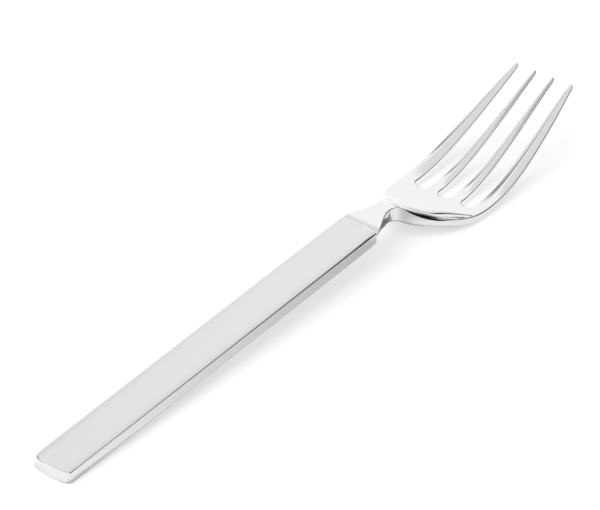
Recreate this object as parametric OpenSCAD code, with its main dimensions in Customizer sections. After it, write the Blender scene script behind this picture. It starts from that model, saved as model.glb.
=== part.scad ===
// Dinner fork with a flat satin handle and a polished head of four tines.
// Sizes are millimetres. The fork is drawn along +Y with the handle's top at z = 0,
// then laid as it rests on a table, on the end of its handle and the back of its bowl.

/* [Handle] */
// Length of the handle, from its end to the polished line where the neck starts
handle_len = 116.1; // [95:0.1:130]
// Width of the handle at its free end
butt_w = 11.3; // [9:0.1:14]
// Width of the handle where the neck starts
shoulder_w = 11.65; // [9.5:0.05:14]
// Thickness of the handle
handle_t = 3.7; // [3.4:0.05:4.4]
// How far the free end bows outward
butt_bow = 0.8; // [0.6:0.05:1.5]
// Radius of the two corners of the free end
butt_corner_r = 1.6; // [1:0.1:3]
// How far the polished line bows towards the tines
shoulder_bow = 0.46; // [0.3:0.02:1]
// Eased edge along the four long edges
long_ease = 0.4; // [0.2:0.05:0.5]
// Radius of the polished upper and lower edges of the free end
butt_ease = 1; // [0.4:0.05:1.2]
// Height of the bright bevel across the front of the handle
bevel_h = 0.15; // [0.1:0.01:0.5]
// Length of the bright bevel across the front of the handle
bevel_len = 0.6; // [0.3:0.05:1.2]
// Radius of the edge under the front of the handle
heel = 1.1; // [0.4:0.05:1.15]

/* [Neck] */
// Step down from the handle's top to the neck
neck_step = 0.6; // [0.55:0.05:0.8]
// Height of the neck's sides where it leaves the handle
root_side = 0.5; // [0.4:0.05:0.6]
// How far the neck's back is rounded out below its sides where it leaves the handle
root_belly = 1.1; // [0.9:0.05:1.2]
// Distance from the handle to the crest of the neck
crest_at = 6.8; // [6:0.1:8]
// How far the crest lies below the handle's top
crest_drop = 0.19; // [0.1:0.01:0.4]
// Distance from the handle to the waist, where the neck is narrowest
waist_at = 9.8; // [9:0.1:10.5]
// Width of the waist
waist_w = 4.6; // [4:0.1:6]
// Height of the neck's sides where it is deepest
neck_side = 4; // [3:0.1:4.4]
// How far the neck's back is rounded out at the waist
neck_belly = 0.45; // [0.2:0.05:0.8]

/* [Bowl] */
// Distance from the handle to the place where the shoulders spread
flare_at = 16; // [15:0.1:17]
// Width of the head where the shoulders spread
flare_w = 11.2; // [10:0.1:12.5]
// Spread of each shoulder, in degrees
flare_angle = 38.5; // [34:0.5:42]
// Distance from the handle to the turn of the shoulders
turn_at = 23; // [22:0.1:24.5]
// Width of the head at the turn of the shoulders
turn_w = 21.3; // [19.5:0.1:22.5]
// Distance from the handle to the widest place of the head
widest_at = 40; // [37:0.5:43]
// Width of the head at its widest place
head_w = 26.6; // [24.5:0.1:28.5]
// Distance from the handle to the lowest place of the bowl
bowl_at = 36; // [34:0.5:38]
// Depth of the bowl below the handle's top
bowl_depth = 11.8; // [10:0.1:13.5]
// Rise of the bowl's rims above its middle
dish_h = 0.35; // [0.1:0.05:0.8]
// Thickness of the bowl
bowl_t = 1.85; // [1.5:0.05:2.2]

/* [Tines] */
// Distance from the handle to the ends of the tines
head_len = 78.8; // [74:0.1:84]
// Height of the tine ends above the handle's top
tip_rise = 1.85; // [-1:0.05:5]
// Upward slope of the tines, in degrees
tine_angle = 20; // [16:0.5:24]
// Thickness of the tines at their ends
tip_t = 0.85; // [0.7:0.05:1.2]
// Width of the rounded end of each tine
tip_w = 1.1; // [0.8:0.05:1.4]
// Spacing of the tines at their ends
tip_pitch = 5.82; // [5.6:0.02:6.2]
// Distance from the handle to the centre of each slot's round root
slot_at = 35.4; // [34:0.1:38]
// Spacing of the slots at their roots
slot_pitch = 7.45; // [7.2:0.05:7.8]
// Width of the slots at their roots
slot_w = 4.1; // [4:0.05:4.4]
// Extra width of the slots half way along the tines
slot_swell = 0.4; // [0.2:0.05:0.5]

/* [Joint] */
// Width of the tang that holds the head in the handle
tang_w = 6; // [4:0.5:6.5]
// Thickness of the tang
tang_t = 0.9; // [0.7:0.05:0.95]
// Length of the tang
tang_len = 12; // [8:0.5:20]
// Gap round the tang for the solder
solder_gap = 0.08; // [0.05:0.01:0.1]
// Gap beyond the end of the tang
tang_end_gap = 0.5; // [0.3:0.1:1]

/* [Hidden] */
$fn = 96;

over = 1;
rim = 0.35;
rim_share = 0.4;
tip_r = tip_w / 2;
total_len = handle_len + head_len;

// Steps of the outlines and of the head's loft
corner_steps = 8;
bow_steps = 6;
edge_steps = 6;
wall_steps = 14;
root_steps = 16;
neck_steps = 32;
tine_steps = 34;
half_steps = 4;

// Turn of each round tine end, up to the narrow flat at its very end
end_angle = 75;

// Radius of the bowed line across an end
function bow_r(w, bow) = (pow(w / 2, 2) + pow(bow, 2)) / (2 * bow);
butt_r = bow_r(butt_w, butt_bow);
shoulder_r = bow_r(shoulder_w, shoulder_bow);
taper_angle = atan((shoulder_w - butt_w) / 2 / handle_len);

// Smooth curve at distance s through rows of [distance, value, slope in degrees]
function row_of(rows, s, i = 0) =
    i >= len(rows) - 2 || s <= rows[i + 1][0] ? i : row_of(rows, s, i + 1);
function curve(rows, s) =
    let (i = row_of(rows, s), a = rows[i], b = rows[i + 1], h = b[0] - a[0], t = (s - a[0]) / h)
    (1 - 3 * t * t + 2 * t * t * t) * a[1]
    + (t - 2 * t * t + t * t * t) * h * tan(a[2])
    + (3 * t * t - 2 * t * t * t) * b[1]
    + (t * t * t - t * t) * h * tan(b[2]);

// Places between the main ones, as shares of the sizes round them
fillet_shares = [0.235, 0.85];
spread_shares = [0.6, 0.4];
tine_shares = [0.51, 0.9];
fall_shares = [0.51, 0.095];
drop_share = 0.38;
turn_share = 0.735;
rise_shares = [0.49, 0.572];
side_shares = [0.44, 0.4, 0.84];
back_shares = [0.35, 0.6];
thin_share = 0.92;

// Half width of the head
side_rows = [
    [-shoulder_bow, shoulder_w / 2, -13],
    [waist_at * fillet_shares[0], shoulder_w / 2 * fillet_shares[1], -25],
    [waist_at, waist_w / 2, 1],
    [waist_at + (flare_at - waist_at) * spread_shares[0],
        (waist_w + (flare_w - waist_w) * spread_shares[1]) / 2, flare_angle],
    [flare_at, flare_w / 2, flare_angle],
    [turn_at, turn_w / 2, 26.5],
    [widest_at, head_w / 2, 0],
    [widest_at + (head_len - widest_at) * tine_shares[0], head_w / 2 * tine_shares[1], -6.5],
    [head_len, tip_pitch * 3 / 2 + tip_r, -11]
];

// Height of the middle of the head's top
top_rows = [
    [-shoulder_bow, -neck_step, 0],
    [waist_at * fillet_shares[0], -neck_step, 3],
    [crest_at, -crest_drop, 0],
    [crest_at + (flare_at - crest_at) * fall_shares[0], -bowl_depth * fall_shares[1], -22],
    [flare_at, -bowl_depth * drop_share, -flare_angle],
    [turn_at, -bowl_depth * turn_share, -22],
    [bowl_at, -bowl_depth, 0],
    [bowl_at + (head_len - bowl_at) * rise_shares[0], -bowl_depth * rise_shares[1], tine_angle],
    [head_len, tip_rise, tine_angle]
];

// Height of the head's sides
height_rows = [
    [-shoulder_bow, root_side, 17],
    [crest_at * side_shares[0], neck_side * side_shares[1], 27],
    [crest_at, neck_side * side_shares[2], 13],
    [(crest_at + turn_at * thin_share) / 2, neck_side, -2],
    [(flare_at + turn_at) / 2, (neck_side + bowl_t) * 2 / 5, -15],
    [(turn_at * 3 + bowl_at) / 4, bowl_t, 0],
    [widest_at, bowl_t * thin_share, 0],
    [head_len, tip_t, -1.5]
];

// How far the back is rounded out below the sides
belly_rows = [
    [-shoulder_bow, root_belly, 0],
    [waist_at, neck_belly, -3],
    [flare_at, neck_belly * thin_share, 0],
    [bowl_at, 0, 0],
    [head_len, 0, 0]
];

// Rise of the rims above the middle
dish_rows = [
    [-shoulder_bow, 0, 0],
    [flare_at, 0, 0],
    [bowl_at, dish_h, 0],
    [head_len, 0, 0]
];

// Half width of a slot, and the distance of the outer slots from the middle
slot_rows = [
    [slot_at, slot_w / 2, 0],
    [(slot_at + head_len * thin_share) / 2, (slot_w + slot_swell) / 2, 0],
    [head_len, tip_pitch / 2 - tip_r, 1]
];
pitch_rows = [
    [slot_at, slot_pitch, -0.8],
    [(slot_at + head_len) / 2, (slot_pitch + tip_pitch) / 2, -2.4],
    [head_len, tip_pitch, -0.5]
];

// Angle at which the fork lies, between the end of the handle and the back of the bowl
function back_z(s) = curve(top_rows, s) - curve(height_rows, s) - curve(belly_rows, s);
rest_angle = max([
    for (i = [0:neck_steps])
        let (s = flare_at + (head_len - flare_at) * i / neck_steps / 2)
        atan2(-handle_t - back_z(s), handle_len + s - butt_ease)
]);
rest_lift = handle_t * cos(rest_angle) - butt_ease * sin(rest_angle);
front_y = total_len * cos(rest_angle) - (tip_rise - tip_t) * sin(rest_angle);
rear_y = butt_ease * sin(rest_angle);

// Turns the fork from the way it is drawn to the way it lies, centred over the origin
module laid() {
    translate([0, -(front_y + rear_y) / 2, rest_lift])
        rotate([rest_angle, 0, 0])
            children();
}

// Outline of the handle from above, with a bowed end and two round corners
corner_x = butt_w / 2 - butt_corner_r;
corner_y = butt_r - sqrt(pow(butt_r - butt_corner_r, 2) - pow(corner_x, 2));
corner_angle = asin(corner_x / (butt_r - butt_corner_r));
half_outline = concat(
    [[shoulder_w / 2 + over * tan(taper_angle), handle_len + over]],
    [for (i = [0:corner_steps])
        let (a = (90 - corner_angle) * i / corner_steps)
        [corner_x + butt_corner_r * cos(a), corner_y - butt_corner_r * sin(a)]],
    [for (i = [1:bow_steps])
        let (a = corner_angle * (1 - i / bow_steps))
        [butt_r * sin(a), butt_r * (1 - cos(a))]]
);
function mirrored(line) = [for (i = [len(line) - 2:-1:0]) [-line[i][0], line[i][1]]];

module handle_bar() {
    translate([0, 0, -handle_t])
        linear_extrude(handle_t)
            polygon(concat(half_outline, mirrored(half_outline)));
}

// Eased edge along one long edge of the handle, at the top or at the bottom
module long_edge(z) {
    translate([butt_w / 2, 0, z])
        rotate([0, 0, -taper_angle])
            rotate([0, 45, 0])
                cube([long_ease * sqrt(2), total_len * 2, long_ease * sqrt(2)], center = true);
}

// Section of a ring round a bowed end, which leaves its upper edge and its lower edge rounded
module bowed_cut(r, top_h, top_len, top_steps, low) {
    rotate_extrude()
        polygon(concat(
            [[r - top_len, over]],
            [for (i = [0:top_steps])
                let (a = 90 * i / top_steps)
                [r - top_len + top_len * sin(a), -top_h + top_h * cos(a)]],
            [for (i = [0:edge_steps])
                let (a = 90 * i / edge_steps)
                [r - low + low * cos(a), -handle_t + low - low * sin(a)]],
            [
                [r - low, -handle_t - over],
                [r + over * 3, -handle_t - over],
                [r + over * 3, over]
            ]
        ));
}

module butt_cut() {
    intersection() {
        translate([0, butt_r + over / 20, 0])
            bowed_cut(butt_r + over / 20, butt_ease, butt_ease, edge_steps, butt_ease);
        translate([-butt_w, -over, -handle_t * 2])
            cube([butt_w * 2, corner_y + over, handle_t * 3]);
    }
}

module shoulder_cut() {
    intersection() {
        translate([0, handle_len - shoulder_r, 0])
            bowed_cut(shoulder_r, bevel_h, bevel_len, 1, heel);
        translate([-shoulder_w, handle_len - over * 3, -handle_t * 2])
            cube([shoulder_w * 2, over * 6, handle_t * 3]);
    }
}

// The tang continues the middle of the neck into the handle
tang_z = -neck_step - (root_side + root_belly) / 2;

module tang(gap, end_gap, front) {
    translate([-tang_w / 2 - gap, handle_len - tang_len - end_gap, tang_z - tang_t / 2 - gap])
        cube([tang_w + gap * 2, tang_len + end_gap + front, tang_t + gap * 2]);
}

module handle() {
    color([0.78, 0.78, 0.78])
        laid()
            difference() {
                handle_bar();
                for (side = [0, 1])
                    mirror([side, 0, 0]) {
                        long_edge(0);
                        long_edge(-handle_t);
                    }
                butt_cut();
                shoulder_cut();
                tang(solder_gap, tang_end_gap, over);
            }
}

// Section of the head at distance s, as a ring of points round it
function section(s) =
    let (
        at = max(s, -shoulder_bow),
        w = curve(side_rows, at),
        z = curve(top_rows, at),
        h = curve(height_rows, at),
        belly = curve(belly_rows, at),
        dish = curve(dish_rows, at),
        r = min(rim, h * rim_share),
        y = handle_len + s
    )
    concat(
        [for (i = [-half_steps:half_steps])
            let (u = i / half_steps)
            [u * (w - r), y, z + dish * u * u]],
        [[w, y, z + dish - r], [w, y, z + dish - h + r]],
        [for (i = [-half_steps:half_steps])
            let (u = -i / half_steps)
            [u * (w - r), y, z - h + dish * u * u - belly * (1 - u * u)]],
        [[-w, y, z + dish - h + r], [-w, y, z + dish - r]]
    );

// Triangles that close one ring of n points, from its top row to its bottom row
function cap(n) = [
    for (i = [-1:half_steps * 2])
        let (a = (i + n) % n, low = half_steps * 4 + 2 - i)
        each [[a, i + 1, low], [a, low, low + 1]]
];

module head_loft() {
    stations = concat(
        [-shoulder_bow - over],
        [for (i = [0:neck_steps]) -shoulder_bow + (turn_at + shoulder_bow) * i / neck_steps],
        [for (i = [1:tine_steps]) turn_at + (head_len - turn_at) * i / tine_steps]
    );
    rings = [for (s = stations) section(s)];
    n = len(rings[0]);
    last = len(rings) - 1;
    polyhedron(
        points = [for (ring = rings) each ring],
        faces = concat(
            cap(n),
            [for (face = cap(n)) [for (j = [2:-1:0]) last * n + face[j]]],
            [for (i = [0:last - 1]) for (j = [0:n - 1])
                let (k = (j + 1) % n)
                [(i + 1) * n + k, i * n + k, i * n + j]],
            [for (i = [0:last - 1]) for (j = [0:n - 1])
                let (k = (j + 1) % n)
                [(i + 1) * n + j, (i + 1) * n + k, i * n + j]]
        )
    );
}

// One slot from above, with a round root, and half of each round tine end beside it
function slot_side(lane, side) =
    concat(
        [for (i = [1:wall_steps])
            let (s = slot_at + (head_len - tip_r - slot_at) * i / wall_steps)
            [lane * curve(pitch_rows, s) + side * curve(slot_rows, s), s]],
        [for (i = [1:corner_steps])
            let (a = end_angle * i / corner_steps)
            [lane * tip_pitch + side * (tip_pitch / 2 - tip_r * cos(a)),
                head_len - tip_r + tip_r * sin(a)]],
        [[lane * tip_pitch + side * (tip_pitch / 2 - tip_r * cos(end_angle)), head_len + over]]
    );
function slot_root(lane) = [
    for (i = [0:root_steps])
        let (a = 180 * i / root_steps)
        [lane * slot_pitch - slot_w / 2 * cos(a), slot_at - slot_w / 2 * sin(a)]
];

module slot(lane) {
    right = slot_side(lane, 1);
    left = slot_side(lane, -1);
    polygon(concat(slot_root(lane), right, [for (i = [len(left) - 1:-1:0]) left[i]]));
}

// Round of the outer tine's end, on its outer side
module outer_round() {
    tine_x = tip_pitch * 3 / 2;
    polygon(concat(
        [for (i = [0:corner_steps])
            let (a = end_angle * i / corner_steps)
            [tine_x + tip_r * cos(a), head_len - tip_r + tip_r * sin(a)]],
        [
            [tine_x + tip_r * cos(end_angle), head_len + over],
            [tine_x + tip_w + over, head_len + over],
            [tine_x + tip_w + over, head_len - tip_r]
        ]
    ));
}

module slots() {
    translate([0, handle_len, -bowl_depth * 2])
        linear_extrude(bowl_depth * 4) {
            for (lane = [-1:1])
                slot(lane);
            for (side = [0, 1])
                mirror([side, 0, 0])
                    outer_round();
        }
}

module head() {
    color([0.86, 0.86, 0.87])
        laid()
            union() {
                difference() {
                    head_loft();
                    slots();
                    translate([0, handle_len - shoulder_r, -handle_t * 2])
                        cylinder(h = handle_t * 4, r = shoulder_r);
                }
                tang(0, 0, over * 3 / 2);
            }
}

handle();
head();
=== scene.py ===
"""Looks of a dinner fork: a flat satin handle and a mirror polished head of four tines.

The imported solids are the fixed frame. Both are replaced by finer skins of the same form,
with rounded edges and procedural steel. Sizes are millimetres along the handle's own
frame (x across, s or y along, z up from the handle's top) until `Rest` lays them down.
"""

from __future__ import annotations

import logging
import math
from dataclasses import dataclass, field, replace
from enum import Enum

import bmesh
import bpy
import numpy as np
from mathutils import Matrix, Vector

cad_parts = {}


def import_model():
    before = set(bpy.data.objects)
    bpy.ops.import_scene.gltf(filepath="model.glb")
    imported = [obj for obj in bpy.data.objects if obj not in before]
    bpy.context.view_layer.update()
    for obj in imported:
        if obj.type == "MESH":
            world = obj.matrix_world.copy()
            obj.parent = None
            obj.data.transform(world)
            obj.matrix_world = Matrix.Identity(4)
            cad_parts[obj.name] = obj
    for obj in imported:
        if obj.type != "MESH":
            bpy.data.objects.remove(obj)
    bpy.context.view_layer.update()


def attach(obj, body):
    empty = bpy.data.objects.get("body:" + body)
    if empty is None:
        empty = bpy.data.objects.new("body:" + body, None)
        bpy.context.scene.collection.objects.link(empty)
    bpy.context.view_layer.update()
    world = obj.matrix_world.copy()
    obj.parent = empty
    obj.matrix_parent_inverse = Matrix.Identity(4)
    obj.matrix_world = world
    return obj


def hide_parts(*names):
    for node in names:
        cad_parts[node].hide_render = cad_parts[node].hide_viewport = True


LOG = logging.getLogger("fork")
MM = 0.001
Rows = tuple[tuple[float, float, float], ...]
Socket = bpy.types.NodeSocket
Outputs = bpy.types.bpy_prop_collection
Feed = Socket | bpy.types.ID | float | tuple[float, ...]

# Node types that the finishes, the floor and the room share.
MATH = "ShaderNodeMath"
MAP = "ShaderNodeMapRange"
SPLIT = "ShaderNodeSeparateXYZ"
SMOOTH = {"interpolation_type": "SMOOTHSTEP"}
# Places of the colour sockets among the inputs and outputs of a Mix node.
MIX_FIRST, MIX_SECOND, MIX_RESULT = 6, 7, 2


class Slot(Enum):
    """Material slots of the record."""

    SATIN = "satin_steel"
    POLISHED = "polished_steel"


def to_linear(code: str) -> tuple[float, float, float, float]:
    """Linear colour of an sRGB hex code.

    Args:
        code: Six hex digits, such as "E2E1E0".

    Returns:
        Red, green, blue and alpha.
    """
    parts = [int(code[i : i + 2], 16) / 255 for i in (0, 2, 4)]
    line = [c / 12.92 if c <= 0.04045 else ((c + 0.055) / 1.055) ** 2.4 for c in parts]
    return (line[0], line[1], line[2], 1.0)


def curve(rows: Rows, s: float) -> float:
    """Value at a distance of the smooth curve through rows.

    Args:
        rows: Rows of distance, value and slope in degrees.
        s: Distance along the curve.

    Returns:
        The curve's value there.
    """
    i = 0
    while i < len(rows) - 2 and s > rows[i + 1][0]:
        i += 1
    a, b = rows[i], rows[i + 1]
    h = b[0] - a[0]
    t = (s - a[0]) / h
    return (
        (1 - 3 * t * t + 2 * t**3) * a[1]
        + (t - 2 * t * t + t**3) * h * math.tan(math.radians(a[2]))
        + (3 * t * t - 2 * t**3) * b[1]
        + (t**3 - t * t) * h * math.tan(math.radians(b[2]))
    )


def curve_at(rows: Rows, places: np.ndarray) -> np.ndarray:
    """Values of the smooth curve through rows at many distances."""
    return np.array([curve(rows, s) for s in places])


@dataclass(frozen=True)
class Rest:
    """How the fork lies: the turn, lift and shift from its own frame to the table's."""

    angle: float = 3.7518844
    lift: float = 3.6296
    middle: float = 97.2411424

    def lay(self, points: np.ndarray) -> np.ndarray:
        """Points in the table's frame, in metres.

        Args:
            points: Array of points in the handle's frame, in millimetres.

        Returns:
            The same points laid down.
        """
        c, s = math.cos(math.radians(self.angle)), math.sin(math.radians(self.angle))
        x, y, z = points[:, 0], points[:, 1], points[:, 2]
        laid = np.stack([x, y * c - z * s - self.middle, y * s + z * c + self.lift], 1)
        return laid * MM


@dataclass
class Skin:
    """Growing list of points and faces that becomes one mesh piece."""

    name: str
    trait: str
    points: list[np.ndarray] = field(default_factory=list)
    marks: list[np.ndarray] = field(default_factory=list)
    faces: list[tuple[int, ...]] = field(default_factory=list)
    count: int = 0

    def add(self, points: np.ndarray, marks: np.ndarray | float = 0.0) -> np.ndarray:
        """Adds points.

        Args:
            points: Array whose last axis holds x, y and z.
            marks: Value of the trait at each point.

        Returns:
            The points' indices, in the shape of the array without its last axis.
        """
        flat = points.reshape(-1, 3)
        ids = np.arange(self.count, self.count + len(flat)).reshape(points.shape[:-1])
        self.points.append(flat)
        self.marks.append(np.broadcast_to(marks, ids.shape).ravel())
        self.count += len(flat)
        return ids

    def sheet(self, ids: np.ndarray, flip: bool = False, closed: bool = False) -> None:
        """Adds the quads of a grid of points.

        Args:
            ids: Two-dimensional array of indices.
            flip: True to turn the faces over.
            closed: True to join the last column to the first.
        """
        rows, cols = ids.shape
        for i in range(rows - 1):
            for j in range(cols if closed else cols - 1):
                k = (j + 1) % cols
                face = [ids[i, j], ids[i, k], ids[i + 1, k], ids[i + 1, j]]
                self.faces.append(tuple(int(v) for v in (face[::-1] if flip else face)))

    def build(self, rest: Rest | None, weld: float = 0.002) -> bpy.types.Object:
        """Makes the mesh object.

        Args:
            rest: How the fork lies, or None to leave the piece as it is drawn.
            weld: Distance in millimetres under which points become one.

        Returns:
            The new object, at the origin.
        """
        points = np.concatenate(self.points)
        marks = np.concatenate(self.marks)
        keys: dict[tuple[int, int, int], int] = {}
        new_id = np.zeros(len(points), int)
        kept: list[int] = []
        for i, key in enumerate(map(tuple, np.round(points / weld).astype(int))):
            if key not in keys:
                keys[key] = len(kept)
                kept.append(i)
            new_id[i] = keys[key]
        faces = []
        for face in self.faces:
            ring: list[int] = []
            for v in (int(new_id[f]) for f in face):
                if v not in ring:
                    ring.append(v)
            if len(ring) > 2:
                faces.append(ring)
        places = points[kept] * MM if rest is None else rest.lay(points[kept])
        mesh = bpy.data.meshes.new(self.name)
        mesh.from_pydata(places.tolist(), [], faces)
        trait = mesh.attributes.new(self.trait, "FLOAT", "POINT")
        trait.data.foreach_set("value", marks[kept])
        mesh.validate()
        mesh.update()
        mesh.polygons.foreach_set("use_smooth", [True] * len(mesh.polygons))
        piece = bpy.data.objects.new(self.name, mesh)
        bpy.context.scene.collection.objects.link(piece)
        return piece


@dataclass(frozen=True)
class Nodes:
    """One node tree that is being built."""

    tree: bpy.types.NodeTree

    def add(
        self, kind: str, feeds: dict[str | int, Feed] | tuple[Feed, ...] = (), **settings: object
    ) -> Outputs:
        """Adds a node with its settings and links.

        Args:
            kind: The node's type name.
            feeds: Its inputs, by name or in order. A socket is linked, another value is set.
            settings: Properties of the node.

        Returns:
            The node's outputs.
        """
        node = self.tree.nodes.new(kind)
        for name, setting in settings.items():
            setattr(node, name, setting)
        for key, feed in feeds.items() if isinstance(feeds, dict) else enumerate(feeds):
            if isinstance(feed, Socket):
                self.tree.links.new(feed, node.inputs[key])
            else:
                node.inputs[key].default_value = feed
        return node.outputs


def new_material(name: str) -> tuple[bpy.types.Material, Nodes]:
    """Makes an empty material.

    Args:
        name: The material's name.

    Returns:
        The material and its node tree.
    """
    material = bpy.data.materials.new(name)
    material.use_nodes = True
    material.node_tree.nodes.clear()
    return material, Nodes(material.node_tree)


@dataclass(frozen=True)
class Steel:
    """Stainless steel whose finish changes with one trait of the mesh.

    Each pair holds the value where the trait is 0 and where it is 1. The spread is how far
    the grain changes the roughness, and the stretch is the grain's width over its length.
    """

    name: str
    trait: str
    tints: tuple[str, str]
    roughs: tuple[float, float]
    spread: float
    grain_mm: float
    stretch: float
    depths: tuple[float, float]
    grain_detail: float = 3.0
    bump_mm: float = 0.02

    def make(self) -> bpy.types.Material:
        """Builds the material: plain where the trait is 0, the other finish where it is 1.

        Returns:
            The material, named for its slot.
        """
        material, nodes = new_material(self.name)
        trait = nodes.add("ShaderNodeAttribute", attribute_name=self.trait)["Fac"]
        place = nodes.add("ShaderNodeTexCoord")["Object"]
        lines = {"Vector": place, "Scale": (1.0, self.stretch, 1.0)}
        grain = nodes.add(
            "ShaderNodeTexNoise",
            {
                "Vector": nodes.add("ShaderNodeMapping", lines)["Vector"],
                "Scale": 1 / (self.grain_mm * MM),
                "Detail": self.grain_detail,
            },
        )["Fac"]
        first, second = map(to_linear, self.tints)
        colours = {"Factor": trait, MIX_FIRST: first, MIX_SECOND: second}
        tint = nodes.add("ShaderNodeMix", colours, data_type="RGBA")[MIX_RESULT]
        ends = {"Value": trait, "To Min": self.roughs[0], "To Max": self.roughs[1]}
        rough = nodes.add(MAP, ends)["Result"]
        ends = {"Value": grain, "To Min": -self.spread, "To Max": self.spread}
        change = nodes.add(MAP, ends)["Result"]
        rough = nodes.add(MATH, (rough, change), operation="ADD", use_clamp=True)["Value"]
        ends = {"Value": trait, "To Min": self.depths[0], "To Max": self.depths[1]}
        depth = nodes.add(MAP, ends)["Result"]
        bump = {"Height": grain, "Strength": depth, "Distance": self.bump_mm * MM}
        normal = nodes.add("ShaderNodeBump", bump)["Normal"]
        steel = {"Base Color": tint, "Metallic": 1.0, "Roughness": rough, "Normal": normal}
        shader = nodes.add("ShaderNodeBsdfPrincipled", steel)["BSDF"]
        nodes.add("ShaderNodeOutputMaterial", {"Surface": shader})
        return material


# Fine satin grinding along the bar: an even soft grey. The real grain, about 0.03 mm, is too
# fine to show and is drawn 0.12 mm wide. Where "polish" is 1, buffed edges and walls: bright
# lines that mirror the room softly.
SATIN = Steel(
    Slot.SATIN.value,
    "polish",
    tints=("EEEDEC", "F1F0EF"),
    roughs=(0.33, 0.07),
    spread=0.03,
    grain_mm=0.12,
    stretch=0.04,
    depths=(0.25, 0.02),
)
# Mirror polish on forged steel: clear reflections with the faint waves, about 0.9 mm, that
# the wheel leaves. Where "cut" is 1, the walls of the slots, polished less.
POLISHED = Steel(
    Slot.POLISHED.value,
    "cut",
    tints=("F3F2F1", "F2F2F2"),
    roughs=(0.05, 0.12),
    spread=0.01,
    grain_mm=0.9,
    stretch=0.3,
    depths=(0.05, 0.05),
)


@dataclass(frozen=True)
class Edge:
    """Point of the handle's outline from above, with its outward direction and roundings."""

    x: float
    y: float
    out_x: float
    out_y: float
    top_len: float
    top_h: float
    low: float

    def inset(self, step: float, z: float) -> tuple[float, float, float]:
        """The point moved inward by a step, at height z."""
        return (self.x - self.out_x * step, self.y - self.out_y * step, z)

    def mirrored(self) -> Edge:
        """The same point on the left side."""
        return replace(self, x=-self.x, out_x=-self.out_x)


@dataclass(frozen=True)
class Bow:
    """Bowed end of the bar with two round corners."""

    width: float
    bulge: float
    corner: float

    @property
    def radius(self) -> float:
        """Radius of the bow."""
        return (self.width * self.width / 4 + self.bulge * self.bulge) / (2 * self.bulge)

    @property
    def corner_x(self) -> float:
        """Distance of a corner's centre from the bar's middle."""
        return self.width / 2 - self.corner

    @property
    def corner_y(self) -> float:
        """Distance of a corner's centre from the bow's centre, along the bar."""
        return math.sqrt((self.radius - self.corner) ** 2 - self.corner_x * self.corner_x)

    @property
    def half(self) -> float:
        """Half the angle of the bow between its corners."""
        return math.asin(self.corner_x / (self.radius - self.corner))


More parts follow.
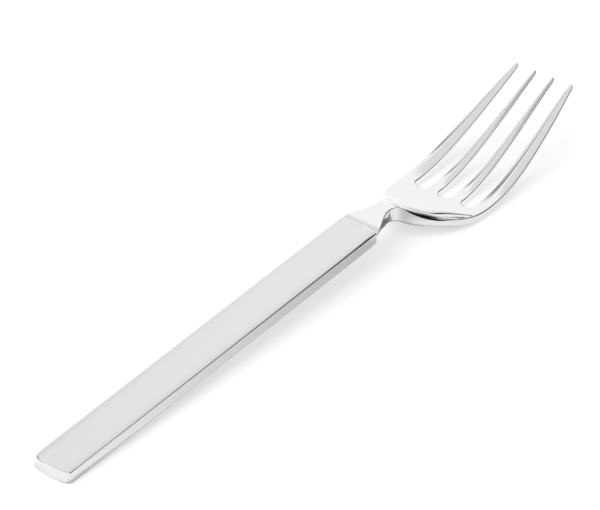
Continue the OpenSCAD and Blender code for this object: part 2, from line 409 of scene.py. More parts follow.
@dataclass
class Handle:
    """Flat satin handle with a bowed rounded end and a bright line at the neck."""

    length: float = 116.1
    thick: float = 3.7
    butt: Bow = Bow(width=11.3, bulge=0.8, corner=1.6)
    front: Bow = Bow(width=11.65, bulge=0.46, corner=0.35)
    # The sides widen early along the bar where this is above 1.
    flare: float = 1.3
    crown: float = 0.38
    # The end is drawn this much short, so that it stays inside the solid's.
    end_gap: float = 0.006
    # Distance along the half outline from the middle of the end, then the top edge's inset
    # and drop and the back edge's radius.
    roundings: tuple[tuple[float, float, float, float], ...] = (
        (0, 0.82, 0.95, 1.0), (4.4, 0.9, 0.95, 1.0), (5.5, 0.95, 0.85, 0.95),
        (6.5, 0.32, 0.36, 0.7), (9.2, 0.2, 0.22, 0.6), (60, 0.26, 0.26, 0.58),
        (100, 0.34, 0.34, 0.45), (112, 0.42, 0.42, 0.5), (119.2, 0.6, 0.55, 0.6),
        (119.6, 0.33, 0.3, 0.9), (119.9, 0.33, 0.16, 1.1), (121.5, 0.6, 0.15, 1.1),
    )
    bow_steps: int = 14
    butt_corner_steps: int = 16
    front_corner_steps: int = 8
    side_steps: int = 70
    top_columns: int = 25
    edge_steps: int = 6
    # Turns in radians of the narrow rings where the polished edges meet top and back.
    top_ring: float = 0.05
    back_ring: float = 0.14
    # The walls' polish: full at the end, and least where the bar meets the neck.
    least_polish: float = 0.3
    full_polish_share: float = 1.1
    polish_length: float = 110.0

    def outline(self) -> list[tuple[float, float, float]]:
        """Right half of the outline.

        Returns:
            Points from the middle of the end to the middle of the front, as x, y and the
            angle of the outward direction.
        """
        points: list[tuple[float, float, float]] = []
        bow = self.butt
        for a in np.linspace(0, bow.half, self.bow_steps)[:-1]:
            points.append((bow.radius * math.sin(a), bow.radius - bow.radius * math.cos(a), a - math.pi / 2))
        rear_y = bow.radius - bow.corner_y
        for turn in np.linspace(bow.half - math.pi / 2, 0, self.butt_corner_steps):
            side = (bow.corner * math.cos(turn), bow.corner * math.sin(turn))
            points.append((bow.corner_x + side[0], rear_y + side[1], turn))
        bow = self.front
        centre = self.length - bow.radius
        for share in np.linspace(0, 1, self.side_steps)[1:-1]:
            w = self.butt.width + (bow.width - self.butt.width) * share
            points.append((w / 2, rear_y + (centre + bow.corner_y - rear_y) * share**self.flare, 0.0))
        for turn in np.linspace(0, math.pi / 2 - bow.half, self.front_corner_steps):
            side = (bow.corner * math.cos(turn), bow.corner * math.sin(turn))
            points.append((bow.corner_x + side[0], centre + bow.corner_y + side[1], turn))
        for a in np.linspace(bow.half, 0, self.bow_steps)[1:]:
            points.append((bow.radius * math.sin(a), centre + bow.radius * math.cos(a), math.pi / 2 - a))
        return points

    def edges(self) -> list[Edge]:
        """Right half of the outline with its roundings.

        Returns:
            Points from the middle of the front to the middle of the end.
        """
        rows = np.array(self.roundings)
        points = self.outline()
        along = 0.0
        result: list[Edge] = []
        for i, (px, py, turn) in enumerate(points):
            if i:
                along += math.dist((px, py), points[i - 1][:2])
            sizes = [float(np.interp(along, rows[:, 0], rows[:, k])) for k in (1, 2, 3)]
            shift = self.end_gap * max(0.0, 1 - py)
            result.append(Edge(px, py + shift, math.cos(turn), math.sin(turn), *sizes))
        return result[::-1]

    def draw(self) -> bpy.types.Object:
        """Draws the handle flat, as rings from its top face to its back, before it is crowned.

        Returns:
            The flat bar in the handle's frame.
        """
        skin = Skin("handle_bar", SATIN.trait)
        right = self.edges()
        loop = [e.mirrored() for e in right][:-1] + right[:0:-1]
        shares = np.sin(np.linspace(-math.pi / 2, math.pi / 2, self.top_columns))
        turns = np.linspace(0, math.pi / 2, self.edge_steps + 1)
        top = np.array([e.inset(e.top_len, 0) for e in right])
        top = np.repeat(top[:, None, :], len(shares), 1)
        top[:, :, 0] *= shares
        skin.sheet(skin.add(top), flip=True)
        polish = [1.0] * len(loop)
        share = self.full_polish_share
        fading = [max(0.0, share - e.y / self.polish_length) for e in loop]
        walls = [self.least_polish + (1 - self.least_polish) * min(1.0, v) for v in fading]
        rings = [[e.inset(e.top_len, 0) for e in loop]]
        marks = [[0.0] * len(loop)]
        for a in [self.top_ring, *turns[1:]]:
            step, drop = 1 - math.sin(a), math.cos(a) - 1
            rings.append([e.inset(e.top_len * step, e.top_h * drop) for e in loop])
            marks.append(polish if a < math.pi / 2 else walls)
        for a in [*turns[:0:-1], self.back_ring]:
            step, rise = 1 - math.sin(a), 1 - math.cos(a)
            rings.append([e.inset(e.low * step, e.low * rise - self.thick) for e in loop])
            marks.append(polish if a < math.pi / 2 else walls)
        rings.append([e.inset(e.low, -self.thick) for e in loop])
        marks.append([0.0] * len(loop))
        ids = skin.add(np.array(rings), np.array(marks))
        skin.sheet(ids, flip=True, closed=True)
        skin.faces.append(tuple(int(v) for v in ids[-1][::-1]))
        return skin.build(None)

    def build(self, rest: Rest) -> bpy.types.Object:
        """Builds the handle, crowned and laid down by its node tree.

        Args:
            rest: How the fork lies.

        Returns:
            The handle's object.
        """
        sizes = {
            "Crown": self.crown * MM,
            "Half Width": self.front.width / 2 * MM,
            "Thickness": self.thick * MM,
            "Rest Angle": math.radians(rest.angle),
            "Lift": rest.lift * MM,
            "Middle": rest.middle * MM,
        }
        return CrownTree("crowned_bar").apply(self.draw(), sizes, SATIN.make())


@dataclass
class CrownTree:
    """Geometry Nodes tree that crowns the top of a flat bar by a rule and lays it down."""

    name: str
    power: float = 6.0

    def build(self, names: tuple[str, ...], material: bpy.types.Material) -> bpy.types.NodeTree:
        """Builds the tree.

        Args:
            names: Names of its sizes.
            material: The material that it sets.

        Returns:
            The tree, with its sizes as named inputs.
        """
        tree = bpy.data.node_groups.new(self.name, "GeometryNodeTree")
        face = tree.interface
        face.new_socket("Geometry", in_out="INPUT", socket_type="NodeSocketGeometry")
        for name in names:
            face.new_socket(name, in_out="INPUT", socket_type="NodeSocketFloat")
        face.new_socket("Geometry", in_out="OUTPUT", socket_type="NodeSocketGeometry")
        nodes = Nodes(tree)
        given = nodes.add("NodeGroupInput")
        place = nodes.add("GeometryNodeInputPosition")["Position"]
        x, _, z = nodes.add(SPLIT, (place,))
        reach = nodes.add(MATH, (x,), operation="ABSOLUTE")["Value"]
        across = nodes.add(MATH, (reach, given["Half Width"]), operation="DIVIDE")["Value"]
        curl = nodes.add(MATH, (across, self.power), operation="POWER")["Value"]
        fall = nodes.add(MATH, (curl, given["Crown"]), operation="MULTIPLY")["Value"]
        height = nodes.add(MATH, (z, given["Thickness"]), operation="DIVIDE")["Value"]
        share = nodes.add(MATH, (height, 1.0), operation="ADD")["Value"]
        share = nodes.add(MATH, (share, 0.0), operation="MAXIMUM")["Value"]
        drop = nodes.add(MATH, (fall, share), operation="MULTIPLY")["Value"]
        drop = nodes.add(MATH, (drop, -1.0), operation="MULTIPLY")["Value"]
        offset = nodes.add("ShaderNodeCombineXYZ", {"Z": drop})["Vector"]
        bar = {"Geometry": given["Geometry"], "Offset": offset}
        bar = {"Geometry": nodes.add("GeometryNodeSetPosition", bar)["Geometry"]}
        bar["Rotation"] = nodes.add("ShaderNodeCombineXYZ", {"X": given["Rest Angle"]})["Vector"]
        back = nodes.add(MATH, (given["Middle"], -1.0), operation="MULTIPLY")["Value"]
        shift = {"Y": back, "Z": given["Lift"]}
        bar["Translation"] = nodes.add("ShaderNodeCombineXYZ", shift)["Vector"]
        laid = nodes.add("GeometryNodeTransform", bar)["Geometry"]
        real = nodes.add("GeometryNodeRealizeInstances", {"Geometry": laid})["Geometry"]
        paint = {"Geometry": real, "Material": material}
        painted = nodes.add("GeometryNodeSetMaterial", paint)["Geometry"]
        nodes.add("NodeGroupOutput", {"Geometry": painted})
        return tree

    def apply(
        self, piece: bpy.types.Object, sizes: dict[str, float], material: bpy.types.Material
    ) -> bpy.types.Object:
        """Runs the tree on a piece and keeps the result as a plain mesh.

        Args:
            piece: The piece to change.
            sizes: Inputs of the tree by name.
            material: The material that the tree sets.

        Returns:
            The piece with its new mesh and without a modifier.
        """
        tree = self.build(tuple(sizes), material)
        modifier = piece.modifiers.new(self.name, "NODES")
        modifier.node_group = tree
        for item in tree.interface.items_tree:
            if item.name in sizes and item.in_out == "INPUT":
                modifier[item.identifier] = sizes[item.name]
        graph = bpy.context.evaluated_depsgraph_get()
        mesh = bpy.data.meshes.new_from_object(
            piece.evaluated_get(graph), preserve_all_data_layers=True, depsgraph=graph
        )
        piece.modifiers.remove(modifier)
        piece.data = mesh
        mesh.name = piece.name
        return piece


@dataclass(frozen=True)
class Wall:
    """Point of an outline from above, with its outward direction and its edges' radii."""

    x: float
    s: float
    out_x: float
    out_s: float
    edge: float
    back: float
    bevel: float = 0.0

    def inset(self, share: float) -> tuple[float, float]:
        """The point moved inward by a share of the edge radius."""
        step = self.edge * share
        return (self.x - self.out_x * step, self.s - self.out_s * step)


@dataclass
class Head:
    """Polished neck, bowl and four tines as one smooth skin.

    The rows hold distance from the handle, value and slope in degrees: the half width, the
    top's height, the thickness, the back's rounding, the dish across the bowl, the half
    width and the pitch of the slots, the lip along the rim, the crown of each tine, the
    radius of the outer upper edge, and how far that edge is a bevel.
    """

    length: float = 78.76
    start: float = 116.1
    bow: float = 0.46
    rim: float = 0.32
    tip_len: float = 1.7
    tine_count: int = 4
    side_rows: Rows = (
        (-0.46, 5.825, -13), (2.303, 4.951, -25), (9.8, 2.3, 1), (13.52, 3.62, 38.5),
        (16, 5.6, 38.5), (23, 10.65, 26.5), (40, 13.297, 0), (59.788, 11.97, -6.5), (78.8, 9.28, -11),
    )
    top_rows: Rows = (
        (-0.46, -0.86, 12), (0.7, -0.5, 16), (2.2, -0.24, 2), (6.8, -0.19, 0), (11.492, -1.121, -22),
        (16, -4.484, -38.5), (23, -8.673, -22), (36, -11.8, 0), (56.972, -6.75, 20), (78.8, 1.85, 20),
    )
    height_rows: Rows = (
        (-0.46, 0.5, 17), (2.992, 1.6, 27), (6.8, 3.36, 13), (13.98, 4, -2),
        (19.5, 2.34, -15), (26.25, 1.85, 0), (40, 1.702, 0), (78.8, 0.85, -1.5),
    )
    belly_rows: Rows = ((-0.46, 1.1, 0), (9.8, 0.45, -3), (16, 0.414, 0), (36, 0, 0), (78.8, 0, 0))
    dish_rows: Rows = ((-0.46, 0, 0), (16, 0, 0), (36, 0.35, 0), (78.8, 0, 0))
    slot_rows: Rows = ((35.4, 2.05, 0), (53.948, 2.25, 0), (78.8, 2.36, 1))
    pitch_rows: Rows = ((35.4, 7.45, -0.8), (57.1, 6.635, -2.4), (78.8, 5.82, -0.5))
    lip_rows: Rows = (
        (-0.46, 0, 0), (8.6, 0, 0), (12.2, 0.45, 9), (15.5, 0.9, 4), (18, 1.0, 0), (22, 0.7, -5),
        (25, 0.5, -2), (38, 0.35, -1), (56, 0, 0), (80, 0, 0),
    )
    lip_power: int = 3
    crown_rows: Rows = ((-0.46, 0, 0), (33, 0, 0), (46, 0.22, 1), (58, 0.34, 0), (78.8, 0.16, -0.8))
    shoulder_rows: Rows = (
        (-0.46, 0.15, 0), (8, 0.25, 1), (11.5, 0.32, 4), (14.5, 0.85, 8), (17.5, 1.1, 0),
        (20.5, 0.85, -6), (24, 0.5, -3), (30, 0.36, 0), (78.8, 0.3, 0),
    )
    bevel_rows: Rows = ((-0.46, 0, 0), (12, 0, 0), (15, 1, 0), (20, 1, 0), (24, 0, 0), (80, 0, 0))
    bevel_turn: float = 0.7
    bevel_drop: float = 0.4
    # Largest shares of the thickness that a slot's edge and the outer upper edge take.
    rim_share: float = 0.38
    shoulder_share: float = 0.45
    tip_share: float = 0.5
    # Rows of the mesh: the neck up to neck_end, the bowl, a slot's root, a shaft and its end.
    neck_end: float = 20.0
    neck_rows: int = 64
    bowl_rows: int = 26
    root_rows: int = 15
    shaft_rows: int = 100
    tip_rows: int = 13
    tine_cols: int = 19
    edge_cols: int = 12

    @property
    def slot_at(self) -> float:
        """Distance at which the slots reach their full width."""
        return self.slot_rows[0][0]

    @property
    def root_radius(self) -> float:
        """Radius of the slots' round roots."""
        return self.slot_rows[0][1]

    @property
    def reach(self) -> float:
        """How far a slot's root and its rounded edge reach towards the handle."""
        return self.root_radius + self.rim

    def edge_radius(self, s: float) -> float:
        """Radius of a slot's rounded edge at distance s."""
        return min(self.rim, self.rim_share * curve(self.height_rows, s))

    def shoulder(self, s: float) -> float:
        """Radius of the outline's upper edge at distance s."""
        most = self.shoulder_share * curve(self.height_rows, s)
        return min(curve(self.shoulder_rows, s), most)

    def outer_wall(self, s: float, side: int, nudge: float = 0.01) -> Wall:
        """Place and outward direction of the head's outline at distance s.

        Args:
            s: Distance from the handle.
            side: -1 for the left side, 1 for the right.
            nudge: Step over which the slope is measured.

        Returns:
            The wall there.
        """
        w = curve(self.side_rows, s)
        ahead, behind = curve(self.side_rows, s + nudge), curve(self.side_rows, s - nudge)
        slope = (ahead - behind) / (2 * nudge)
        size = math.hypot(1, slope)
        bevel = curve(self.bevel_rows, s)
        edge, back = self.shoulder(s), self.edge_radius(s)
        return Wall(side * w, s, side / size, -slope / size, edge, back, bevel)

    def slot_side(self, s: float, lane: int, side: int) -> float:
        """Place across the head of a slot's left or right wall at distance s."""
        return lane * curve(self.pitch_rows, s) + side * curve(self.slot_rows, s)

    def slot_wall(self, s: float, lane: int, side: int, nudge: float = 0.01) -> Wall:
        """Place and outward direction of a slot's wall at distance s.

        Args:
            s: Distance from the handle.
            lane: -1, 0 or 1 for the left, middle or right slot.
            side: -1 for the slot's left wall, 1 for its right.
            nudge: Step over which the slope is measured.

        Returns:
            The wall there.
        """
        ahead, behind = self.slot_side(s + nudge, lane, side), self.slot_side(s - nudge, lane, side)
        slope = (ahead - behind) / (2 * nudge)
        size = math.hypot(1, slope)
        edge = self.edge_radius(s)
        return Wall(self.slot_side(s, lane, side), s, -side / size, side * slope / size, edge, edge)

    def root_wall(self, a: float, lane: int, side: int) -> Wall:
        """Place and outward direction on a slot's round root.

        Args:
            a: Turn from the root's middle, in radians.
            lane: -1, 0 or 1 for the left, middle or right slot.
            side: -1 where the wall belongs to the tine on its right, 1 on its left.

        Returns:
            The wall there.
        """
        r = self.root_radius
        x = lane * self.pitch_rows[0][1] - side * r * math.sin(a)
        s = self.slot_at - r * math.cos(a)
        return Wall(x, s, side * math.sin(a), math.cos(a), self.rim, self.rim)

    def inner_line(
        self, bowl: np.ndarray, arcs: np.ndarray, shaft: np.ndarray, lane: int, side: int
    ) -> list[Wall]:
        """Line of a tine that borders a slot, from the neck along the shaft.

        Args:
            bowl: Distances of the rows of neck and bowl, where the line has no wall.
            arcs: Turns along the slot's root.
            shaft: Distances along the tine.
            lane: -1, 0 or 1 for the left, middle or right slot.
            side: -1 for the tine's left line, 1 for its right.

        Returns:
            The line's points.
        """
        edge_in = curve(self.side_rows, bowl[-1]) - self.shoulder(bowl[-1])
        walls = []
        for s in bowl:
            share = (curve(self.side_rows, s) - self.shoulder(s)) / edge_in
            walls.append(Wall(lane * self.pitch_rows[0][1] * share, s, 0, 0, 0, 0))
        walls += [self.root_wall(a, lane, side) for a in arcs]
        walls += [self.slot_wall(s, lane, -side) for s in shaft]
        return walls

    def lines(self) -> list[tuple[list[Wall], list[Wall]]]:
        """Left and right line of each tine.

        Returns:
            Both lines of each tine, row by row from the neck to its end.
        """
        first = self.slot_at - self.reach
        neck = np.linspace(-self.bow, self.neck_end, self.neck_rows)
        bowl = np.concatenate([neck, np.linspace(self.neck_end, first, self.bowl_rows)[1:]])
        arcs = np.radians(np.linspace(0, 90, self.root_rows))[:-1]
        beside = [self.slot_at - self.reach * math.cos(a) for a in arcs]
        shaft = np.linspace(self.slot_at, self.length - self.tip_len, self.shaft_rows)
        outer = [*bowl, *beside, *shaft]
        result = []
        middle = self.tine_count // 2
        for tine in range(self.tine_count):
            pair = []
            for side in (-1, 1):
                lane = tine - middle + (side + 1) // 2
                if abs(lane) == middle:
                    pair.append([self.outer_wall(s, side) for s in outer])
                else:
                    pair.append(self.inner_line(bowl, arcs, shaft, lane, side))
            left, right = pair
            self.add_tip(left, right)
            result.append((left, right))
        return result

    def add_tip(self, left: list[Wall], right: list[Wall]) -> None:
        """Adds a tine's elliptical end to both of its lines.

        Args:
            left: The tine's left line.
            right: Its right line.
        """
        middle = (left[-1].x + right[-1].x) / 2
        radius = (right[-1].x - left[-1].x) / 2
        for a in np.radians(np.linspace(0, 90, self.tip_rows))[1:]:
            out = Vector((math.cos(a) / radius, math.sin(a) / self.tip_len)).normalized()
            edge = self.edge_radius(self.length) * (1 - self.tip_share * math.sin(a))
            s = self.length - self.tip_len * (1 - math.sin(a))
            for side, walls in ((-1, left), (1, right)):
                x = middle + side * radius * math.cos(a)
                walls.append(Wall(x, s, side * out.x, out.y, edge, edge))

    def build(self, rest: Rest) -> bpy.types.Object:
        """Builds the head's skin.

        Args:
            rest: How the fork lies.

        Returns:
            The head's object.
        """
        skin = Skin("tined_head", POLISHED.trait)
        shares = np.linspace(0, 1, self.tine_cols)
        slot_row = self.neck_rows + self.bowl_rows - 1
        for tine, (left, right) in enumerate(self.lines()):
            lo = np.array([w.inset(1) for w in left])
            hi = np.array([w.inset(1) for w in right])
            plan = lo[:, None, :] + (hi - lo)[:, None, :] * shares[None, :, None]
            u = np.broadcast_to(shares * 2 - 1, plan.shape[:2])
            for under in (False, True):
                skin.sheet(skin.add(self.lift(plan, u, under, 0)), flip=under)
            for side, walls in ((-1, left), (1, right)):
                if (tine, side) in ((0, -1), (self.tine_count - 1, 1)):
                    self.add_edge(skin, walls, side, False)
                else:
                    self.add_edge(skin, walls[slot_row:], side, True)
        piece = skin.build(rest)
        self.close_rear(piece)
        piece.data.materials.append(POLISHED.make())
        return piece

    def add_edge(self, skin: Skin, walls: list[Wall], side: int, slotted: bool) -> None:
        """Adds the rounded edges and the wall between top and back along a line.

        Args:
            skin: The skin that is being drawn.
            walls: The line's points.
            side: -1 for a tine's left line, 1 for its right.
            slotted: True where the wall belongs to a slot.
        """
        steps = np.radians(np.linspace(0, 90, self.edge_cols))
        bevel = np.array([[w.bevel] for w in walls])
        turn = 1 + self.bevel_turn * bevel
        ins = 1 - np.sin(steps)[None, :] ** turn
        down = 1 - np.cos(steps)[None, :] ** turn
        rim = np.array([[w.inset(v) for v in row] for w, row in zip(walls, ins)])
        u = np.full(rim.shape[:2], float(side))
        edge = np.array([[w.edge] for w in walls]) * (1 + self.bevel_drop * bevel)
        low = np.array([[w.back] for w in walls]) * (1 - np.cos(steps)[None, :])
        over = self.lift(rim, u, False, edge * down)
        back = self.lift(rim, u, True, low)[:, ::-1]
        cut = np.zeros((len(walls), len(steps) * 2))
        if slotted:
            cut[:, len(steps) - 1 : len(steps) + 1] = 1
        skin.sheet(skin.add(np.concatenate([over, back], 1), cut), flip=side < 0)

    def lift(
        self, plan: np.ndarray, u: np.ndarray, under: bool, drop: np.ndarray | float
    ) -> np.ndarray:
        """Raises plan points to the head's top or back.

        Args:
            plan: Grid of points from above, in x and s.
            u: Place across the tine of each point, from -1 to 1.
            under: True for the back.
            drop: How far the rounded edge lies inside the surface at each point.

        Returns:
            Grid of points in the handle's frame.
        """
        x, s = plan[..., 0].ravel(), plan[..., 1].ravel()
        if under:
            z = self.under(x, s).reshape(u.shape) + drop
        else:
            z = self.top(x, s, u.ravel()).reshape(u.shape) - drop
        return np.stack([plan[..., 0], plan[..., 1] + self.start, z], -1)

    def close_rear(self, piece: bpy.types.Object) -> None:
        """Closes the open ring inside the handle.

        Args:
            piece: The head's object.
        """
        work = bmesh.new()
        work.from_mesh(piece.data)
        rim = [edge for edge in work.edges if edge.is_boundary]
        bmesh.ops.holes_fill(work, edges=rim, sides=0)
        bmesh.ops.recalc_face_normals(work, faces=work.faces)
        work.to_mesh(piece.data)
        work.free()

    def top(self, x: np.ndarray, s: np.ndarray, u: np.ndarray) -> np.ndarray:
        """Height of the top surface.

        Args:
            x: Places across the head.
            s: Distances from the handle.
            u: Places across each tine, from -1 to 1.

        Returns:
            The heights.
        """
        q = x / curve_at(self.side_rows, s)
        dish = curve_at(self.dish_rows, s) * q**2
        lip = curve_at(self.lip_rows, s) * np.abs(q) ** self.lip_power
        return curve_at(self.top_rows, s) + dish + lip - curve_at(self.crown_rows, s) * u * u

    def under(self, x: np.ndarray, s: np.ndarray) -> np.ndarray:
        """Height of the back.

        Args:
            x: Places across the head.
            s: Distances from the handle.

        Returns:
            The heights.
        """
        q = np.clip((x / curve_at(self.side_rows, s)) ** 2, 0, 1)
        dish, belly = curve_at(self.dish_rows, s), curve_at(self.belly_rows, s)
        height = curve_at(self.height_rows, s)
        return curve_at(self.top_rows, s) - height + dish * q - belly * (1 - q)


@dataclass(frozen=True)
class Fade:
    """Soft change from one level to another between two places."""

    low: float
    high: float
    start: float
    end: float

    def along(self, value: Socket) -> dict[str, Feed]:
        """Inputs of the Map Range node that makes the change along a value."""
        ends = {"From Min": self.low, "From Max": self.high, "To Min": self.start, "To Max": self.end}
        return {"Value": value, **ends}


@dataclass(frozen=True)
class View:
    """The photograph's viewing angle, measured in the handle's frame."""

    azimuth: float = 39.14
    elevation: float = 33.81
    focal_px: float = 3600.0
    distance: float = 831.87
    aim_x: float = 57.63
    aim_y: float = 48.34
    fitted_angle: float = 4.0
    fitted_at: tuple[float, float, float] = (0.0, 0.9, 0.0)
    image_w: int = 600
    sensor_w: float = 36.0
    clip_end: float = 10.0

    def build(self, rest: Rest) -> None:
        """Places the camera.

        Args:
            rest: How the fork lies.
        """
        a, e = math.radians(self.azimuth), math.radians(self.elevation)
        right = Vector((math.cos(a), math.sin(a), 0))
        up = Vector((-math.sin(a) * math.sin(e), math.cos(a) * math.sin(e), math.cos(e)))
        back = Vector((math.sin(a) * math.cos(e), -math.cos(a) * math.cos(e), math.sin(e)))
        place = right * self.aim_x + up * self.aim_y + back * self.distance
        turn = Matrix.Rotation(math.radians(rest.angle - self.fitted_angle), 3, "X")
        axes = Matrix((turn @ right, turn @ up, turn @ back)).transposed()
        origin = Vector(rest.lay(np.array([self.fitted_at]))[0])
        data = bpy.data.cameras.new("camera")
        data.sensor_width = self.sensor_w
        data.lens = self.focal_px * data.sensor_width / self.image_w
        data.clip_end = self.clip_end
        camera = bpy.data.objects.new("camera", data)
        camera.matrix_world = Matrix.Translation(turn @ place * MM + origin) @ axes.to_4x4()
        bpy.context.scene.collection.objects.link(camera)
        bpy.context.scene.camera = camera


@dataclass(frozen=True)
class Flag:
    """Dark board on the right of the studio, which gives bright steel its dark lines.

    The fades run along the direction's turn about the vertical, in radians.
    """

    rise: Fade = Fade(0.35, 0.8, 0, 1)
    wide_rise: Fade = Fade(-0.75, -0.4, 0, 1)
    fall: Fade = Fade(1.55, 1.85, 1, 0)

    def mask(self, nodes: Nodes, x: Socket, y: Socket, rise: Fade) -> Socket:
        """Adds a mask of the directions in which the board stands.

        Args:
            nodes: The tree.
            x: The direction's part across the fork.
            y: Its part along the fork.
            rise: Where the mask begins.

        Returns:
            The socket of the mask: 1 inside, 0 outside.
        """
        turn = nodes.add(MATH, (y, x), operation="ARCTAN2")["Value"]
        left = nodes.add(MAP, rise.along(turn), **SMOOTH)["Result"]
        right = nodes.add(MAP, self.fall.along(turn), **SMOOTH)["Result"]
        return nodes.add(MATH, (left, right), operation="MULTIPLY")["Value"]


@dataclass(frozen=True)
class Floor:
    """White table that glows for the camera and keeps the fork's soft shadow.

    For steel it is darker: painted shade under the fork and beside the handle, a painted dark reflection far
    right.
    Sizes are metres on the floor.
    """

    size: float = 3.0
    paper: str = "A9A9A9"
    glow: float = 0.58
    fork_half: Fade = Fade(0.025, 0.045, 0.0054, 0.0105)
    painted_shade_under_fork: Fade = Fade(0.0003, 0.0026, 0.08, 1)
    before_fork: Fade = Fade(-0.0975, -0.096, 0.8, 0)
    below_tines: Fade = Fade(0.045, 0.056, 0, 1)
    beside_x: Fade = Fade(0.006, 0.009, 0, 1)
    beside_y: Fade = Fade(0.0275, 0.0345, 1, 0.3)
    # Painted shade beside the handle, for steel only: it grows along the fork from grow_from, up to
    # grow_most.
    grow_from: float = -0.147
    grow_rate: float = 2.65
    grow_most: float = 0.5
    ahead_x: Fade = Fade(0.0155, 0.022, 0, 1)
    ahead_y: Fade = Fade(0.052, 0.068, 0, 0.95)
    far_away: Fade = Fade(0.11, 0.15, 0, 0.95)

    def build(self, flag: Flag) -> None:
        """Makes the floor.

        Args:
            flag: The studio's dark board.
        """
        mesh = bpy.data.meshes.new("floor")
        signs = ((-1, -1), (1, -1), (1, 1), (-1, 1))
        corners = [(i * self.size, j * self.size, 0) for i, j in signs]
        mesh.from_pydata(corners, [], [(0, 1, 2, 3)])
        floor = bpy.data.objects.new("floor", mesh)
        bpy.context.scene.collection.objects.link(floor)
        material, nodes = new_material("white_floor")
        place = nodes.add("ShaderNodeTexCoord")["Object"]
        path = nodes.add("ShaderNodeLightPath")
        strength = {"Strength": self.light(nodes, place, path)}
        white = nodes.add("ShaderNodeEmission", strength)["Emission"]
        paper = nodes.add("ShaderNodeBsdfDiffuse", {"Color": to_linear(self.paper)})["BSDF"]
        lit = nodes.add("ShaderNodeAddShader", (paper, white))["Shader"]
        black = nodes.add("ShaderNodeEmission", {"Strength": 0.0})["Emission"]
        shade = self.shade(nodes, place, path, flag)
        shown = nodes.add("ShaderNodeMixShader", (shade, lit, black))["Shader"]
        nodes.add("ShaderNodeOutputMaterial", {"Surface": shown})
        mesh.materials.append(material)

    def light(self, nodes: Nodes, place: Socket, path: Outputs) -> Socket:
        """Adds the floor's glow: full for the camera, and less under the fork for steel, as painted shade.

        Args:
            nodes: The floor's tree.
            place: Place on the floor.
            path: Outputs of the Light Path node.

        Returns:
            The socket of the glow.
        """
        # Painted shade: steel mirrors less glow under the fork, from its butt to the middle of its tines.
        x, y, _ = nodes.add(SPLIT, (place,))
        half = nodes.add(MAP, self.fork_half.along(y), **SMOOTH)["Result"]
        reach = nodes.add(MATH, (x,), operation="ABSOLUTE")["Value"]
        beside = nodes.add(MATH, (reach, half), operation="SUBTRACT")["Value"]
        open_share = nodes.add(MAP, self.painted_shade_under_fork.along(beside), **SMOOTH)["Result"]
        for fade in (self.before_fork, self.below_tines):
            end = nodes.add(MAP, fade.along(y), **SMOOTH)["Result"]
            open_share = nodes.add(MATH, (open_share, end), operation="MAXIMUM")["Value"]
        seen = (path["Is Camera Ray"], path["Is Transmission Ray"])
        seen = nodes.add(MATH, seen, operation="MAXIMUM")["Value"]
        mirrored = (path["Is Glossy Ray"], open_share)
        mirrored = nodes.add(MATH, mirrored, operation="MULTIPLY")["Value"]
        either = nodes.add(MATH, (seen, mirrored), operation="MAXIMUM")["Value"]
        return nodes.add(MATH, (either, self.glow), operation="MULTIPLY")["Value"]

    def shade(self, nodes: Nodes, place: Socket, path: Outputs, flag: Flag) -> Socket:
        """Adds the share of black that steel mirrors: painted shade beside the handle, a painted dark
        reflection far on the right.

        Args:
            nodes: The floor's tree.
            place: Place on the floor.
            path: Outputs of the Light Path node.
            flag: The studio's dark board.

        Returns:
            The socket of the share.
        """
        x, y, _ = nodes.add(SPLIT, (place,))
        # Painted shade: steel mirrors the floor beside the handle darker, more towards the neck.
        grown = nodes.add(MATH, (y, -self.grow_from), operation="ADD")["Value"]
        grown = nodes.add(MATH, (grown, self.grow_rate), operation="MULTIPLY")["Value"]
        beside = nodes.add(MATH, (grown, self.grow_most), operation="MINIMUM")["Value"]
        for fade, value in ((self.beside_x, x), (self.beside_y, y)):
            part = nodes.add(MAP, fade.along(value), **SMOOTH)["Result"]
            beside = nodes.add(MATH, (part, beside), operation="MULTIPLY")["Value"]
        # Painted dark reflection: in the board's direction, right of the tines and far away, steel mirrors
        # the floor black.
        right = nodes.add(MAP, self.ahead_x.along(x), **SMOOTH)["Result"]
        ahead = nodes.add(MAP, self.ahead_y.along(y), **SMOOTH)["Result"]
        ahead = nodes.add(MATH, (right, ahead), operation="MULTIPLY")["Value"]
        away = nodes.add("ShaderNodeVectorMath", (place,), operation="LENGTH")["Value"]
        away = nodes.add(MAP, self.far_away.along(away), **SMOOTH)["Result"]
        away = nodes.add(MATH, (ahead, away), operation="MAXIMUM")["Value"]
        side = flag.mask(nodes, x, y, flag.rise)
        beyond = nodes.add(MATH, (side, away), operation="MULTIPLY")["Value"]
        either = nodes.add(MATH, (beside, beyond), operation="MAXIMUM")["Value"]
        return nodes.add(MATH, (path["Is Glossy Ray"], either), operation="MULTIPLY")["Value"]


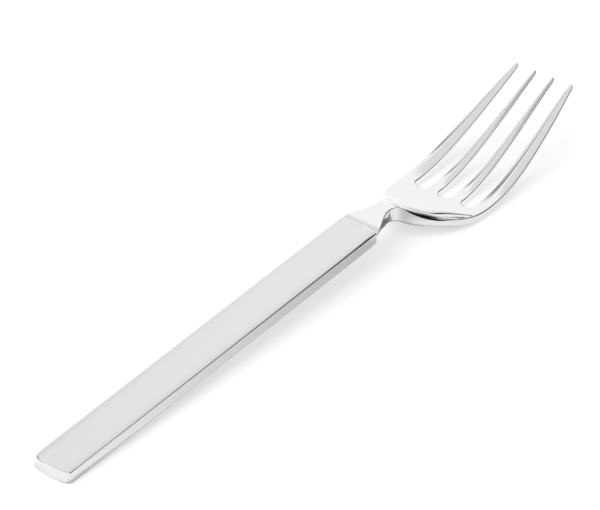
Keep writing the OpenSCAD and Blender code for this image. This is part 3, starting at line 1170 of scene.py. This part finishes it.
@dataclass(frozen=True)
class Room:
    """White room with a dark board on the right, a dim seam on the left and a dimmer ceiling.

    The fades run along the direction's height, from 0 at the horizon to 1 overhead, and the
    seam's side along its part across the fork.
    """

    board_top: Fade = Fade(0.72, 0.86, 0.99, 0)
    wide_foot: Fade = Fade(0.2, 0.42, 0, 1)
    ceiling: Fade = Fade(0.7, 0.86, 1, 0.78)
    seam_foot: Fade = Fade(0.42, 0.56, 0, 0.72)
    seam_top: Fade = Fade(0.62, 0.74, 1, 0)
    seam_side: Fade = Fade(-0.72, -0.6, 1, 0)
    white: tuple[float, float, float, float] = (1.0, 1.0, 1.0, 1.0)

    def build(self, flag: Flag) -> None:
        """Makes the room's light.

        Args:
            flag: The studio's dark board.
        """
        world = bpy.data.worlds.new("room")
        bpy.context.scene.world = world
        world.use_nodes = True
        world.node_tree.nodes.clear()
        nodes = Nodes(world.node_tree)
        path = nodes.add("ShaderNodeLightPath")
        strength = {"Color": self.white, "Strength": self.level(nodes, path, flag)}
        light = nodes.add("ShaderNodeBackground", strength)["Background"]
        white = nodes.add("ShaderNodeBackground", {"Color": self.white})["Background"]
        seen = (path["Is Camera Ray"], light, white)
        shown = nodes.add("ShaderNodeMixShader", seen)["Shader"]
        nodes.add("ShaderNodeOutputWorld", {"Surface": shown})

    def level(self, nodes: Nodes, path: Outputs, flag: Flag) -> Socket:
        """Adds the room's brightness in each direction.

        Args:
            nodes: The room's tree.
            path: Outputs of the Light Path node.
            flag: The studio's dark board.

        Returns:
            The socket of the brightness.
        """
        x, y, z = nodes.add(SPLIT, (nodes.add("ShaderNodeTexCoord")["Generated"],))
        wide = (flag.mask(nodes, x, y, flag.wide_rise), path["Is Glossy Ray"])
        wide = nodes.add(MATH, wide, operation="MULTIPLY")["Value"]
        foot = nodes.add(MAP, self.wide_foot.along(z), **SMOOTH)["Result"]
        wide = nodes.add(MATH, (wide, foot), operation="MULTIPLY")["Value"]
        board = (flag.mask(nodes, x, y, flag.rise), wide)
        board = nodes.add(MATH, board, operation="MAXIMUM")["Value"]
        top = nodes.add(MAP, self.board_top.along(z), **SMOOTH)["Result"]
        dark = nodes.add(MATH, (board, top), operation="MULTIPLY")["Value"]
        seam = nodes.add(MAP, self.seam_foot.along(z), **SMOOTH)["Result"]
        for fade, value in ((self.seam_top, z), (self.seam_side, x)):
            part = nodes.add(MAP, fade.along(value), **SMOOTH)["Result"]
            seam = nodes.add(MATH, (seam, part), operation="MULTIPLY")["Value"]
        level = nodes.add(MAP, self.ceiling.along(z), **SMOOTH)["Result"]
        for loss in (seam, dark):
            rest = nodes.add(MATH, (1.0, loss), operation="SUBTRACT")["Value"]
            level = nodes.add(MATH, (level, rest), operation="MULTIPLY")["Value"]
        return level


@dataclass(frozen=True)
class Lamp:
    """Square lamp that points at the fork, in metres and watts."""

    name: str = "overhead"
    place: tuple[float, float, float] = (-0.05, -0.72, 1.0)
    size: float = 0.85
    power: float = 10.0

    def build(self) -> None:
        """Hangs the lamp, which steel doesn't mirror."""
        data = bpy.data.lights.new(self.name, "AREA")
        data.shape = "SQUARE"
        data.size = self.size
        data.energy = self.power
        lamp = bpy.data.objects.new(self.name, data)
        lamp.location = self.place
        lamp.rotation_euler = (-Vector(self.place)).to_track_quat("-Z", "Y").to_euler()
        lamp.visible_glossy = False
        bpy.context.scene.collection.objects.link(lamp)


def main() -> None:
    """Builds the fork's looks in order and reports each piece."""
    logging.basicConfig(level=logging.INFO, format="%(message)s")
    bpy.context.scene.view_settings.view_transform = "Standard"
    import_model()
    rest = Rest()
    flag = Flag()
    View().build(rest)
    Floor().build(flag)
    Room().build(flag)
    Lamp().build()
    for piece, node, slot in (
        (Handle().build(rest), "handle", Slot.SATIN),
        (Head().build(rest), "head", Slot.POLISHED),
    ):
        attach(piece, "root")
        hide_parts(node)
        LOG.info("%s: %d faces", piece.name, len(piece.data.polygons))


if __name__ == "__main__":
    main()
